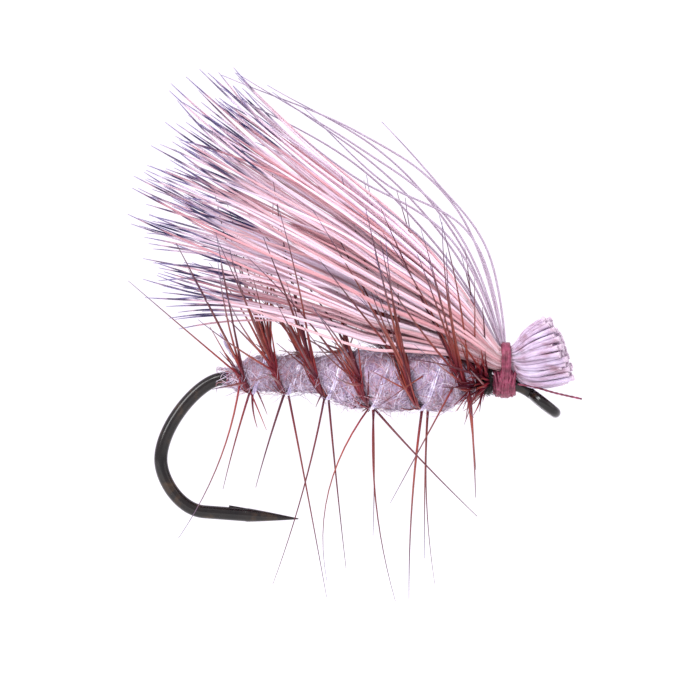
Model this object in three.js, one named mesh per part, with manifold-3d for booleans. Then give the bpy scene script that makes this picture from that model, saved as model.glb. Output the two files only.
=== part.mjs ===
// An elk-hair dry fly tied on a size 12 ring-eye hook, in millimetres.
// +X runs forward along the shank to the eye, +Z up through the wing. The origin is the centre of the eye.

import * as THREE from 'three';
import Module from 'manifold-3d';

const wasm = await Module();
wasm.setup();

// Driving dimensions
const wire = 0.5;            // diameter of the hook wire
const gape = 5;              // from the shank's centre line down to the spear's
const shankHeight = 0.69;    // the shank's centre line above the centre of the eye
const bendStart = -12.06;    // where the straight shank ends and the bend begins
const bendBack = -14.34;     // the bend's rearmost centre-line point
const spearStart = -12.67;   // where the bend ends and the spear begins
const pointTip = -9.13;      // the needle point
const eyeRadius = 0.53;      // mean radius of the eye ring
const eyeWire = 0.4;         // wire diameter in the ring
const eyeDrop = THREE.MathUtils.degToRad(37);
const pointHeight = -4.5;    // centre line at the point
const pointRadius = 0.03;
const barbRoot = -11.1;      // where the spear's barb is raised
const barbEnd = -11.75;
const barbSink = 0.12;       // the barb's line above the spear's at its root
const barbRise = 0.28;       // and at its free end
const barbStump = 0.14;      // radius of the barb at its root
const needleTaper = 1.15;    // above 1 the point thins faster towards its end

const underbody = 0.32;      // outer radius of the thread laid along the shank
const underbodyRear = -11.9;
const underbodyFront = -2;
const fit = 0.015;           // play left between pieces that are bound together
const bodyTail = -11.5;
const bodyNose = -2.68;
const tailEnd = 0.45;        // the body's radius at its rear end
const tailGirth = 0.6;       // along its slim rear
const girth = 1.05;          // at its fattest
const noseGirth = 0.5;
const collarOuter = 0.47;    // radius of the dark herl collar
const collarRear = -2.6;
const collarFront = -2.02;
const stemThin = 0.05;       // radius of the hackle feather's stem at the tail
const stemThick = 0.085;     // and at the head
const ribRadius = 0.04;
const ribTail = [[-0.72, -0.2, 1.2], [-0.42, -0.1, 0.55]];   // the rib's loose end, from where it is tied in
const strandGap = 0.02;      // between strands that cross
const barbLength = 7.6;
const barbRadius = 0.035;

const bundleHeight = 1.69;   // the wing bundle's centre where the thread grips it
const gripFront = -1.2;
const gripRear = -1.8;
const hairPitch = 0.15;      // between neighbouring hairs in the grip
const gripHair = 0.062;      // radius of a hair squeezed by the thread
const bodyHair = 0.085;      // radius of a hair in the wing
const buttHair = 0.1;        // radius of a hair's cut butt
const tipRadii = [0.06, 0.045, 0.025];
const threadBuild = 0.1;     // thickness of the head's thread
const wrapsRear = -1.96;     // the wraps round the shank under the wing
const wrapsFront = -1.05;
const bandWidth = 0.44;      // the band of thread over the wing
const tagRadius = 0.04;      // the thread's cut end

// A small repeatable random number generator
function randomFrom(seed) {
  let state = seed;
  return () => {
    state = (state + 0x6d2b79f5) | 0;
    let mixed = Math.imul(state ^ (state >>> 15), 1 | state);
    mixed = (mixed + Math.imul(mixed ^ (mixed >>> 7), 61 | mixed)) ^ mixed;
    return ((mixed ^ (mixed >>> 14)) >>> 0) / 4294967296;
  };
}

function vector(x, y, z) {
  return new THREE.Vector3(x, y, z);
}

function blend(from, to, share) {
  return from + (to - from) * share;
}

// Joins rings of equally many points into one closed surface. The rings follow each other along the
// piece, each counter-clockwise seen from ahead. A looped skin meets its own first ring instead of caps.
function skin(rings, looped = false) {
  const sides = rings[0].length;
  const positions = rings.flat().flatMap((point) => point.toArray());
  const faces = [];
  const last = rings.length - 1;
  for (let i = 0; i < (looped ? rings.length : last); i++) {
    const here = i * sides;
    const next = ((i + 1) % rings.length) * sides;
    for (let j = 0; j < sides; j++) {
      const k = (j + 1) % sides;
      faces.push(here + j, here + k, next + k);
      faces.push(here + j, next + k, next + j);
    }
  }
  for (let j = 1; !looped && j < sides - 1; j++) {
    faces.push(0, j + 1, j);
    faces.push(last * sides, last * sides + j, last * sides + j + 1);
  }
  const geometry = new THREE.BufferGeometry();
  geometry.setAttribute('position', new THREE.Float32BufferAttribute(positions, 3));
  geometry.setIndex(faces);
  geometry.computeVertexNormals();
  return geometry;
}

// A solid strand along a line of points, with its own radius at each of them
function strand(points, radii, sides) {
  const tangents = points.map((_, i) => {
    const before = points[Math.max(i - 1, 0)];
    const after = points[Math.min(i + 1, points.length - 1)];
    return after.clone().sub(before).normalize();
  });
  const start = Math.abs(tangents[0].y) < 0.9 ? vector(0, 1, 0) : vector(1, 0, 0);
  let normal = start.projectOnPlane(tangents[0]).normalize();
  const rings = points.map((point, i) => {
    normal = normal.clone().projectOnPlane(tangents[i]).normalize();
    const across = tangents[i].clone().cross(normal);
    return Array.from({ length: sides }, (_, j) => {
      const turn = (2 * Math.PI * j) / sides;
      return point.clone()
        .addScaledVector(normal, radii[i] * Math.cos(turn))
        .addScaledVector(across, radii[i] * Math.sin(turn));
    });
  });
  return skin(rings);
}

function toManifold(geometry) {
  return new wasm.Manifold(new wasm.Mesh({
    numProp: 3,
    vertProperties: new Float32Array(geometry.attributes.position.array),
    triVerts: new Uint32Array(geometry.index.array),
  }));
}

// Welds a piece's overlapping geometries into one closed body
function weld(geometries) {
  let whole = toManifold(geometries[0]);
  for (const geometry of geometries.slice(1)) {
    whole = whole.add(toManifold(geometry));
  }
  const mesh = whole.getMesh();
  const welded = new THREE.BufferGeometry();
  welded.setAttribute('position', new THREE.BufferAttribute(mesh.vertProperties, 3));
  welded.setIndex(new THREE.BufferAttribute(mesh.triVerts, 1));
  welded.computeVertexNormals();
  return welded;
}

// The eye ring with shared vertices, since a torus geometry repeats its seams
function ring(radius, tube, around, sides) {
  const rings = Array.from({ length: around }, (_, i) => {
    const turn = (2 * Math.PI * i) / around;
    return Array.from({ length: sides }, (_, j) => {
      const roll = (2 * Math.PI * j) / sides;
      const reach = radius + tube * Math.cos(roll);
      return vector(reach * Math.cos(turn), reach * Math.sin(turn), -tube * Math.sin(roll));
    });
  });
  return skin(rings, true);
}

// A sleeve round the shank, open at both ends
function sleeve(inner, outer, rear, front, sides) {
  const profile = [[outer, rear], [outer, front], [inner, front], [inner, rear]];
  const rings = profile.map(([radius, x]) => Array.from({ length: sides }, (_, j) => {
    const turn = (2 * Math.PI * j) / sides;
    return vector(x, radius * Math.cos(turn), shankHeight + radius * Math.sin(turn));
  }));
  return skin(rings, true);
}

// Hook

const spearDrop = pointHeight - (shankHeight - gape);   // the spear falls towards its point

function spearHeight(x) {
  return shankHeight - gape + spearDrop * (x - spearStart) / (pointTip - spearStart);
}

const neckRear = -1.1;
const neckFront = -0.5;
const neckEase = 0.16;       // how far behind the kink the neck's curve begins
const bendMiddle = -2.35;    // height of the bend's rearmost point

// How far the bend's curves are pulled along the wire at the shank, at the rearmost point and at the spear
const shankPull = 0.8;
const risePull = 1.3;
const fallPull = 0.8;
const spearPull = 0.9;

function hookLine() {
  const neck = vector(-eyeRadius * Math.cos(eyeDrop), 0, eyeRadius * Math.sin(eyeDrop));
  const kink = vector(neck.x - (shankHeight - neck.z) / Math.tan(eyeDrop), 0, shankHeight);
  const shank = vector(kink.x - neckEase, 0, shankHeight);
  const fall = spearDrop / (pointTip - spearStart);
  const toShank = new THREE.QuadraticBezierCurve3(neck, kink, shank);
  const upperBend = new THREE.CubicBezierCurve3(
    vector(bendStart, 0, shankHeight), vector(bendStart - shankPull, 0, shankHeight),
    vector(bendBack, 0, bendMiddle + risePull), vector(bendBack, 0, bendMiddle));
  const lowerBend = new THREE.CubicBezierCurve3(
    vector(bendBack, 0, bendMiddle), vector(bendBack, 0, bendMiddle - fallPull),
    vector(spearStart - spearPull, 0, spearHeight(spearStart) - spearPull * fall),
    vector(spearStart, 0, spearHeight(spearStart)));
  const spear = [0.35, 0.6, 0.8, 0.93, 1].map((share) => {
    const x = blend(spearStart, pointTip, share);
    return vector(x, 0, spearHeight(x));
  });
  return [
    ...toShank.getPoints(4),
    ...upperBend.getPoints(9),
    ...lowerBend.getPoints(9).slice(1),
    ...spear,
  ];
}

// The wire thins a little along the neck, and from the barb to a needle point
function wireRadius(point) {
  if (point.z > 0) {
    return blend(wire / 2, eyeWire / 2, THREE.MathUtils.smoothstep(point.x, neckRear, neckFront));
  }
  const worn = THREE.MathUtils.clamp((point.x - barbRoot) / (pointTip - barbRoot), 0, 1);
  return worn > 0 ? blend(wire / 2, pointRadius, worn ** needleTaper) : wire / 2;
}

function hook() {
  const line = hookLine();
  const radii = line.map(wireRadius);
  const eye = ring(eyeRadius, eyeWire / 2, 22, 8);
  eye.rotateY(eyeDrop);
  const barbLine = [
    vector(barbRoot, 0, spearHeight(barbRoot) + barbSink),
    vector(barbEnd, 0, spearHeight(barbEnd) + barbRise),
  ];
  const barb = strand(barbLine, [barbStump, pointRadius], 6);
  return weld([strand(line, radii, 10), eye, barb]);
}

// Body, with the hackle stem and the rib wound over it

// Share of the way from the body's tail to its nose
function along(x) {
  return THREE.MathUtils.clamp((x - bodyTail) / (bodyNose - bodyTail), 0, 1);
}

// 0 along the slim rear of the body, 1 where it is fattest
function swell(x) {
  return THREE.MathUtils.smoothstep(along(x), 0.3, 0.52);
}

// 0 at the rear end, 1 where the slim rear has its full radius
function tailRise(x) {
  return THREE.MathUtils.smoothstep(along(x), 0, 0.06);
}

function bodyRadius(x) {
  const taper = THREE.MathUtils.smoothstep(along(x), 0.86, 1.02);
  return blend(blend(blend(tailEnd, tailGirth, tailRise(x)), girth, swell(x)), noseGirth, taper);
}

// The fur is built up higher above the shank than below it, most of all along the slim rear
function bodyCentre(x) {
  return shankHeight + blend(blend(0.05, 0.22, tailRise(x)), 0.1, swell(x));
}

// A point on the body. Turn 0 is on top, a quarter turn is on the -Y side and half a turn is below.
function onBody(x, turn, outside) {
  const reach = bodyRadius(x) + outside;
  const angle = 2 * Math.PI * turn;
  return vector(x, -reach * Math.sin(angle), bodyCentre(x) + reach * Math.cos(angle));
}

// The hackle's turns open up towards the head. Turns are counted from the first time it passes below.
const firstBottom = -10.96;
const firstPitch = 1.2;
const pitchGrowth = 0.19;
const firstTurn = -0.35;
const lastTurn = 4.93;
const ribFirst = -0.4;
const ribLast = 4.75;

function stemX(turns) {
  return firstBottom + firstPitch * turns + pitchGrowth / 2 * turns ** 2;
}

// The inverse of stemX
function turnsAt(x) {
  return (-firstPitch + Math.sqrt(firstPitch ** 2 + 2 * pitchGrowth * (x - firstBottom))) / pitchGrowth;
}

function stemRadius(x) {
  return blend(stemThin, stemThick, along(x));
}

// The stem lies on the slim rear of the body and sinks into the fur further forward
function stemOutside(x) {
  return blend(stemThin + 0.015, -0.06, swell(x));
}

function stemPoint(turns) {
  const x = stemX(turns);
  return onBody(x, turns + 0.5, stemOutside(x));
}

// How deep the stem presses the fur in: a groove that follows the stem
function grooveDepth(x, turn) {
  const turns = turnsAt(x);
  const away = turns - (turn - 0.5);
  const distance = Math.abs(away - Math.round(away)) * (firstPitch + pitchGrowth * turns);
  const depth = Math.max(0, stemRadius(x) + 0.03 - stemOutside(x));
  return depth * (1 - THREE.MathUtils.smoothstep(distance, 0.11, 0.34));
}

function dubbingBody() {
  const stations = 56;
  const sides = 16;
  const bore = underbody + fit;
  const outer = Array.from({ length: stations + 1 }, (_, i) => {
    const x = blend(bodyTail, bodyNose, i / stations);
    return Array.from({ length: sides }, (_, j) => onBody(x, j / sides, -grooveDepth(x, j / sides)));
  });
  const inner = [bodyNose, bodyTail].map((x) => Array.from({ length: sides }, (_, j) => {
    const angle = (2 * Math.PI * j) / sides;
    return vector(x, -bore * Math.sin(angle), shankHeight + bore * Math.cos(angle));
  }));
  return skin([...outer, ...inner], true);
}

// The rib is wound the other way and crosses over the stem on top of the body and below it. Its loose
// end stands up behind the tail.
function ribLine() {
  const steps = 92;
  const wound = Array.from({ length: steps + 1 }, (_, i) => {
    const turns = blend(ribFirst, ribLast, i / steps);
    const x = stemX(turns);
    return onBody(x, 0.5 - turns, stemOutside(x) + stemRadius(x) + strandGap + ribRadius);
  });
  const start = wound[0];
  const tail = ribTail.map((away) => start.clone().add(vector(...away)));
  return [...tail, ...wound];
}

function rib() {
  const line = ribLine();
  return strand(line, line.map(() => ribRadius), 5);
}

// Wing: each hair is one piece from its cut butt, through the thread's grip, to its tip

const gripRows = [5, 6, 7, 8, 7, 6, 5];
const rowRise = hairPitch * Math.sqrt(3) / 2;
const gripHalfHeight = rowRise * (gripRows.length - 1) / 2;
const gripHalfWidth = hairPitch * (Math.max(...gripRows) - 1) / 2;

// Places of the hairs in the grip, in rows packed like the cells of a honeycomb
function gripPlaces() {
  return gripRows.flatMap((count, row) => Array.from({ length: count }, (_, i) => ({
    side: (i - (count - 1) / 2) * hairPitch,
    up: row * rowRise - gripHalfHeight,
  })));
}

// The wing's upper and lower edges from the grip to the tips, as x and z, with its half-width in y
const upperEdge = [[-3.43, 4.21], [-5.53, 6.22], [-7.63, 7.87], [-10.11, 9.69], [-12.59, 11.7]];
const lowerEdge = [[-3.93, 2.14], [-6.2, 2.32], [-8.4, 2.98], [-11.48, 3.66], [-14.87, 4.16]];
const halfWidth = [1.1, 1.6, 2.1, 2.6, 3.1];
const sideDroop = 0.46;      // the lower hairs hang down like a tent towards the wing's sides

function wingPoint(station, level, side, random) {
  const [lowX, lowZ] = lowerEdge[station];
  const [highX, highZ] = upperEdge[station];
  const share = (level + 1) / 2;
  const droop = sideDroop * (1 - share) * side ** 2;
  const stray = 0.07 * station;
  return vector(
    blend(lowX, highX, share) + stray * (random() - 0.5),
    side * halfWidth[station] + stray * (random() - 0.5),
    blend(lowZ, highZ, share) - droop + stray * (random() - 0.5));
}

// The cut butt flares most right in front of the thread, then bends back towards the shank's direction
const middleFlare = 10;      // degrees above the shank's direction
const flareSpan = 26;        // degrees more for the top hairs, and less for the bottom ones
const sideSpread = THREE.MathUtils.degToRad(28);
const buttLength = 1.9;
const steeper = 1.4;         // how much steeper a butt leaves the thread than it ends

function buttCurve(front, level, side, random) {
  const flare = THREE.MathUtils.degToRad(middleFlare + flareSpan * level);
  const spread = sideSpread * side;
  const length = (buttLength - 0.15 * level) * (0.95 + 0.1 * random());
  const away = (reach, share) => front.clone().add(vector(
    reach * Math.cos(share * flare) * Math.cos(share * spread),
    reach * Math.sin(share * spread),
    reach * Math.sin(share * flare)));
  return new THREE.QuadraticBezierCurve3(away(length, 1), away(0.45 * length, steeper), front);
}

// A hair's reach past the last station: at the wing's edges, how much more in its middle, and how it varies
const edgeReach = 1.08;
const middleReach = 0.42;
const uneven = 0.22;

function hairLine(place, random) {
  const level = place.up / gripHalfHeight;
  const side = place.side / gripHalfWidth;
  const grip = (x) => vector(x, place.side, bundleHeight + place.up);
  const butt = buttCurve(grip(gripFront), level, side, random);
  const stations = upperEdge.map((_, i) => wingPoint(i, level, side, random));
  // The tips form a rounded fan, so the middle hairs reach furthest
  const reach = edgeReach + middleReach * (1 - level ** 2) - uneven * random();
  stations[4].lerpVectors(stations[3], stations[4].clone(), reach);
  const wing = new THREE.CatmullRomCurve3([grip(gripRear), ...stations]);
  return [...butt.getPoints(2), ...wing.getPoints(7)];
}

function hairRadii() {
  const wing = [gripHair, bodyHair, bodyHair, bodyHair * 0.95, bodyHair * 0.85, ...tipRadii];
  return [buttHair, buttHair * 0.85, gripHair, ...wing];
}

// Hackle: one feather, its stem wound along the body and its barbs standing out all round

// The barbs leave the hook's gap open
const hookGap = new THREE.Box3(vector(-12.95, -2.1, -4.05), vector(-8.8, 2.1, 0.1));

function closestApproach(points, obstacle) {
  const edge = new THREE.Line3();
  const nearest = new THREE.Vector3();
  let least = Infinity;
  for (let i = 0; i < obstacle.length - 1; i++) {
    edge.set(obstacle[i], obstacle[i + 1]);
    for (const point of points) {
      edge.closestPointToPoint(point, true, nearest);
      least = Math.min(least, nearest.distanceTo(point));
    }
  }
  return least;
}

const backLean = -0.1;       // how a barb leans along the shank, as a slope, and how much that varies
const leanSpan = 0.75;
const twistSpan = 0.35;      // how much its slope round the body varies
const shortShare = 0.12;     // share of the barbs that are short
const sway = vector(-0.5, 0.5, 0.3);   // how far a barb's tip may bow

function barbCurve(turns, random) {
  const root = stemPoint(turns);
  const out = root.clone().sub(vector(root.x, 0, bodyCentre(root.x))).normalize();
  const lean = backLean + leanSpan * (random() - 0.5);
  const twist = twistSpan * (random() - 0.5);
  const around = vector(1, 0, 0).cross(out);
  const way = out.addScaledVector(vector(1, 0, 0), lean).addScaledVector(around, twist).normalize();
  const length = barbLength * (random() < shortShare ? 0.4 : 0.82 + 0.2 * random());
  const middle = root.clone().addScaledVector(way, 0.55 * length);
  const bow = vector(sway.x * random(), sway.y * (random() - 0.5), sway.z * (random() - 0.5));
  return new THREE.QuadraticBezierCurve3(
    root, middle, root.clone().addScaledVector(way, length).add(bow));
}

function hackleFeather(obstacles) {
  const random = randomFrom(12);
  const steps = 84;
  const stem = Array.from(
    { length: steps + 1 }, (_, i) => stemPoint(blend(firstTurn, lastTurn, i / steps)));
  const stemRadii = stem.map((point) => stemRadius(point.x));
  const tries = 150;
  const clearance = 0.2;
  const kept = [];
  for (let i = 0; i < tries; i++) {
    const curve = barbCurve(blend(firstTurn + 0.05, lastTurn - 0.05, (i + 0.5 * random()) / tries), random);
    const samples = curve.getPoints(26).slice(1);
    const free = !samples.some((point) => hookGap.containsPoint(point))
      && obstacles.every((piece) => closestApproach(samples, piece.line) > piece.radius + clearance)
      && kept.every((other) => closestApproach(samples, other) > 3 * barbRadius);
    if (free) {
      kept.push(curve.getPoints(3));
    }
  }
  const radii = [barbRadius * 1.25, barbRadius, barbRadius * 0.8, barbRadius * 0.45];
  return weld([strand(stem, stemRadii, 6), ...kept.map((line) => strand(line, radii, 3))]);
}

// Head

// A flat oval that holds the shank's wraps below and the hair bundle above, grown by a margin
function headOutline(path, margin) {
  const hairSide = gripHalfWidth + gripHair + margin;
  const hairTop = gripHalfHeight + gripHair + margin;
  const foot = wire / 2 + fit + threadBuild + margin;
  path.absarc(0, shankHeight, foot, Math.PI, 2 * Math.PI, false);
  path.lineTo(hairSide, bundleHeight);
  path.absellipse(0, bundleHeight, hairSide, hairTop, 0, Math.PI, false);
  path.closePath();
  return path;
}

function wingThreadBand() {
  const outline = headOutline(new THREE.Shape(), fit + threadBuild);
  outline.holes.push(headOutline(new THREE.Path(), fit));
  const settings = { depth: bandWidth, bevelEnabled: false, curveSegments: 12 };
  const band = new THREE.ExtrudeGeometry(outline, settings);
  band.applyMatrix4(new THREE.Matrix4().makeBasis(vector(0, 1, 0), vector(0, 0, 1), vector(1, 0, 0)));
  band.translate((gripFront + gripRear - bandWidth) / 2, 0, 0);
  return band;
}

// The cut end of the tying thread lies forward under the butts, beside the eye
function threadTag() {
  const route = new THREE.CatmullRomCurve3([
    vector(-1.02, -0.3, 0.72), vector(-0.45, -0.42, 0.64), vector(0.4, -0.4, 0.42), vector(1.38, -0.3, 0.22),
  ]);
  const line = route.getPoints(9);
  return strand(line, line.map(() => tagRadius), 6);
}

const group = new THREE.Group();

function addPiece(name, geometry, colour, roughness, metalness = 0) {
  const material = new THREE.MeshStandardMaterial({ color: colour, roughness, metalness });
  const mesh = new THREE.Mesh(geometry, material);
  mesh.name = name;
  group.add(mesh);
}

const hairRandom = randomFrom(5);
const hairs = gripPlaces().map((place) => hairLine(place, hairRandom));
const obstacles = [
  { line: hookLine(), radius: wire / 2 },
  { line: ribLine(), radius: ribRadius },
  ...hairs.map((line) => ({ line, radius: bodyHair })),
];

const onWire = wire / 2 + fit;
const underbodySleeve = sleeve(onWire, underbody, underbodyRear, underbodyFront, 14);
const collarSleeve = sleeve(underbody + fit, collarOuter, collarRear, collarFront, 14);
const wrapsSleeve = sleeve(onWire, wire / 2 + threadBuild, wrapsRear, wrapsFront, 14);

addPiece('hook', hook(), 0x3a3029, 0.25, 0.9);
addPiece('thread_underbody', underbodySleeve, 0x6e1f35, 0.6);
addPiece('dubbing_body', dubbingBody(), 0xa79aa4, 0.95);
addPiece('rib', rib(), 0xd9cfe4, 0.2);
addPiece('hackle_feather', hackleFeather(obstacles), 0x6b2a2c, 0.6);
addPiece('herl_collar', collarSleeve, 0x141a18, 0.8);
addPiece('head_thread_wraps', wrapsSleeve, 0x8e1c3c, 0.35);
addPiece('wing_thread_band', wingThreadBand(), 0x8e1c3c, 0.35);
addPiece('thread_tag', threadTag(), 0x8e2c40, 0.5);
hairs.forEach((line, i) => {
  addPiece(`wing_hair_${String(i + 1).padStart(2, '0')}`, strand(line, hairRadii(), 5), 0xe2c9bf, 0.5);
});

export default group;
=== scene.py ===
"""The looks of an elk-hair dry fly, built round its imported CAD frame.

Shapes are worked out in millimetres, in the frame's axes: +X forward along the shank to the eye, +Z up.
"""

import math

import bpy
import numpy as np
from mathutils import Matrix, Vector


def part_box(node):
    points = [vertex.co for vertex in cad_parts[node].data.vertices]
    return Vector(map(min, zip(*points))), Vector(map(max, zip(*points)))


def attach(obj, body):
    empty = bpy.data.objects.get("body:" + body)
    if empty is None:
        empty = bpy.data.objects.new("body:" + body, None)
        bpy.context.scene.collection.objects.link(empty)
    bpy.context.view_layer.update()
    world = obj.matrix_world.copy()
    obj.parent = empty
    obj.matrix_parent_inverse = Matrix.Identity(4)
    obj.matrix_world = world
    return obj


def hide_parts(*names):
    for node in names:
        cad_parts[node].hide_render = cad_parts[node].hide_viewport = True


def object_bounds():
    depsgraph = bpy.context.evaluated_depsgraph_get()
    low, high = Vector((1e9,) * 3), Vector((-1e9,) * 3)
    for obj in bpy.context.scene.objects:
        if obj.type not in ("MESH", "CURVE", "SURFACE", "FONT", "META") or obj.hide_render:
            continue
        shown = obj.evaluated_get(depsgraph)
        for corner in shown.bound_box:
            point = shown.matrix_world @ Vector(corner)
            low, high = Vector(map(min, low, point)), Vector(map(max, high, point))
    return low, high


MM = 0.001
TAU = 2 * math.pi
FORWARD = np.array([1.0, 0, 0])
ACROSS = np.array([0, 1.0, 0])

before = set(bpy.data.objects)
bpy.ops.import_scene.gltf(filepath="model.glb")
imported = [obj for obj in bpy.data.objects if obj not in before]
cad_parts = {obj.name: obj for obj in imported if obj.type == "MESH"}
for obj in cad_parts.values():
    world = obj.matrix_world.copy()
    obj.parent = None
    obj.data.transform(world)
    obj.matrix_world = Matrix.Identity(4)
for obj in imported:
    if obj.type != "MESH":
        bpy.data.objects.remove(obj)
cad_box = [list(corner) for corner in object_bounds()]


def box(node):
    low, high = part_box(node)
    return np.array(low) / MM, np.array(high) / MM


# Driving sizes, in millimetres

hook_low = box("hook")[0]
under_low, under_high = box("thread_underbody")
body_low, body_high = box("dubbing_body")
collar_low, collar_high = box("herl_collar")
wraps_low, wraps_high = box("head_thread_wraps")
band_low, band_high = box("wing_thread_band")

SHANK = (under_low[2] + under_high[2]) / 2      # height of the shank's centre line
WIRE = 0.5
EYE_WIRE = 0.4
EYE_RADIUS = 0.53
EYE_DROP = math.radians(37)
BEND_START = body_low[0] - 0.56
BEND_BACK = hook_low[0] + WIRE / 2
SPEAR_START = BEND_BACK + 1.67
POINT_TIP = BEND_BACK + 5.21
SPEAR = SHANK - 5                               # height of the spear where the bend ends
POINT_HEIGHT = -4.5
BARB_ROOT = POINT_TIP - 1.97
BARB_END = BARB_ROOT - 0.65
BARB_RISE = 0.27                                # how far the barb's free end stands over the spear
SPUR_ROOT, SPUR_TIP = 0.16, 0.05                # the barb's radii
BEND_MIDDLE = -2.35                             # height of the bend's rearmost point
SHANK_PULL, RISE_PULL, FALL_PULL, SPEAR_PULL = 0.8, 1.3, 0.8, 0.9   # reach of the bend's curve handles
NECK_REAR, NECK_FRONT = -1.1, -0.5              # the wire thins between these on its way to the eye
NECK_EASE = 0.16                                # how far behind the kink the neck's curve begins
NEEDLE_ROOT, NEEDLE_TIP = 0.53 * WIRE, 0.02     # radii at the needle point's two ends
NEEDLE_TAPER = 1.15                             # above 1 it thins faster towards its end

TAIL = body_low[0]
NOSE = body_high[0]
GIRTH = body_high[1]
TAIL_END = 0.45
TAIL_GIRTH = 0.6
NOSE_GIRTH = 0.5
SWELL_FROM, SWELL_TO = 0.3, 0.52                # shares of the body's length where it grows fat
RISE_TO = 0.06                                  # the share where the slim rear has its full radius
TAPER_FROM, TAPER_TO = 0.86, 1.02               # the shares where it narrows to the nose
HUMPS = (0.05, 0.22, 0.1)                       # centre over the shank: rear end, slim rear, fat front
BORE = under_high[1] + 0.01
GROOVE_EDGES = (0.11, 0.34)                     # distances from the stem between which its groove fades out
BULGE = 0.05                                    # height of the fur's bulge between two turns of the stem
RIDGE = 0.018                                   # height of the wound fur's ridges
RIDGE_GAPS = (0.31, 0.19)                       # distances between the ridges of two sets
LUMP = 0.025                                    # height of the fur's lumps

# The hackle's turns are counted from the first time its stem passes below the body
FIRST_BOTTOM = TAIL + 0.54
FIRST_PITCH = 1.2
PITCH_GROWTH = 0.19
FIRST_TURN = -0.35
LAST_TURN = 4.93
STEM_THIN = 0.05
STEM_THICK = 0.085
RIB_FIRST = -0.4
RIB_LAST = 4.75
RIB_STRAND = 0.042                              # radius of one of the rib's two strands

AIM_BEHIND_EYE = 7.32                           # the camera aims at a place behind the eye and above it
AIM_ABOVE_EYE = 1.87

BUNDLE = 1.69                                   # height of the wing bundle's centre in the thread's grip
THREAD = 0.055                                  # radius of the tying thread


# Small mathematics

def mix(low, high, share):
    return low + (high - low) * share


def smoothstep(value, low, high):
    share = np.clip((value - low) / (high - low), 0, 1)
    return share * share * (3 - 2 * share)


def unit(ways):
    return ways / np.linalg.norm(ways, axis=-1, keepdims=True)


def through(points, places):
    """Points on a smooth curve through the given ones. Place 1.5 is halfway from the second to the third."""
    points = np.asarray(points, float)
    padded = np.vstack([2 * points[0] - points[1], points, 2 * points[-1] - points[-2]])
    places = np.clip(places, 0, len(points) - 1 - 1e-9)
    span = places.astype(int)
    t = (places - span)[:, None]
    a, b, c, d = (padded[span + step] for step in range(4))
    return b + 0.5 * t * (c - a + t * (2 * a - 5 * b + 4 * c - d + t * (3 * (b - c) + d - a)))


def bezier(points, t):
    """A Bezier curve of any degree at each of the shares t."""
    levels = [np.asarray(point, float) for point in points]
    t = np.asarray(t, float)[:, None]
    while len(levels) > 1:
        levels = [mix(a, b, t) for a, b in zip(levels, levels[1:])]
    return levels[0]


# Mesh building. A part is (vertices in millimetres, faces, traits), where a trait is one number for each
# vertex.

def skin(rings, traits, looped=False):
    """Closed skins over rings shaped (strands, rings, sides, 3), with capped ends unless looped."""
    count, length, sides = rings.shape[:3]
    side = np.arange(sides)
    beside = (side + 1) % sides
    last = length if looped else length - 1
    here = np.arange(last)
    start = np.arange(count)[:, None] * length
    near = ((start + here) * sides)[..., None]
    far = ((start + (here + 1) % length) * sides)[..., None]
    quads = np.stack([near + side, near + beside, far + beside, far + side], axis=-1)
    faces = quads.reshape(-1, 4).tolist()
    if not looped:
        faces += (start * sides + side[::-1]).tolist()
        faces += ((start + length - 1) * sides + side).tolist()
    spread = {name: np.repeat(np.broadcast_to(value, (count, length)).ravel(), sides)
              for name, value in traits.items()}
    return rings.reshape(-1, 3), faces, spread


def strands(lines, radii, sides, traits=None, guide=None, looped=False, plies=0, twist=0.0):
    """Round strands along lines shaped (strands, points, 3). Plies give the strand twisted lobes."""
    lines = np.asarray(lines, float)
    if looped:
        tangents = unit(np.roll(lines, -1, axis=1) - np.roll(lines, 1, axis=1))
    else:
        tangents = unit(np.gradient(lines, axis=1))
    if guide is None:
        reach = np.abs(lines[:, -1] - lines[:, 0])
        guide = np.eye(3)[reach.argmin(axis=1)][:, None]
    normals = unit(guide - (tangents * guide).sum(axis=2, keepdims=True) * tangents)
    across = np.cross(tangents, normals)
    turn = np.arange(sides) * TAU / sides
    spokes = normals[:, :, None] * np.cos(turn)[:, None] + across[:, :, None] * np.sin(turn)[:, None]
    reach = np.broadcast_to(radii, lines.shape[:2])[..., None] * np.ones(sides)
    if plies:
        steps = np.linalg.norm(np.diff(lines, axis=1, prepend=lines[:, :1]), axis=2)
        travel = np.cumsum(steps, axis=1)[..., None]
        reach = reach * (1 + 0.16 * np.cos(plies * (turn - travel * twist)))
    return skin(lines[:, :, None] + reach[..., None] * spokes, traits or {}, looped)


def add_piece(name, parts, material, nodes=(), crisp=True):
    """One mesh piece made of parts, standing for CAD nodes."""
    vertices, faces, offset = [], [], 0
    for points, polygons, _ in parts:
        vertices.append(points)
        faces += [[corner + offset for corner in polygon] for polygon in polygons]
        offset += len(points)
    mesh = bpy.data.meshes.new(name)
    mesh.from_pydata(np.concatenate(vertices) * MM, [], faces)
    for trait in sorted({key for part in parts for key in part[2]}):
        values = [part[2].get(trait, np.zeros(len(part[0]))) for part in parts]
        attribute = mesh.attributes.new(trait, "FLOAT", "POINT")
        attribute.data.foreach_set("value", np.concatenate(values).astype(np.float32))
    mesh.shade_smooth()
    if crisp:
        mesh.set_sharp_from_angle(angle=math.radians(80))
    mesh.materials.append(material)
    piece = bpy.data.objects.new(name, mesh)
    bpy.context.scene.collection.objects.link(piece)
    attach(piece, "root")
    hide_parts(*nodes)


# Materials

def srgb(value):
    """A linear colour from a hexadecimal screen colour."""
    shares = [(value >> shift & 255) / 255 for shift in (16, 8, 0)]
    return [s / 12.92 if s <= 0.04045 else ((s + 0.055) / 1.055) ** 2.4 for s in shares] + [1]


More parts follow.
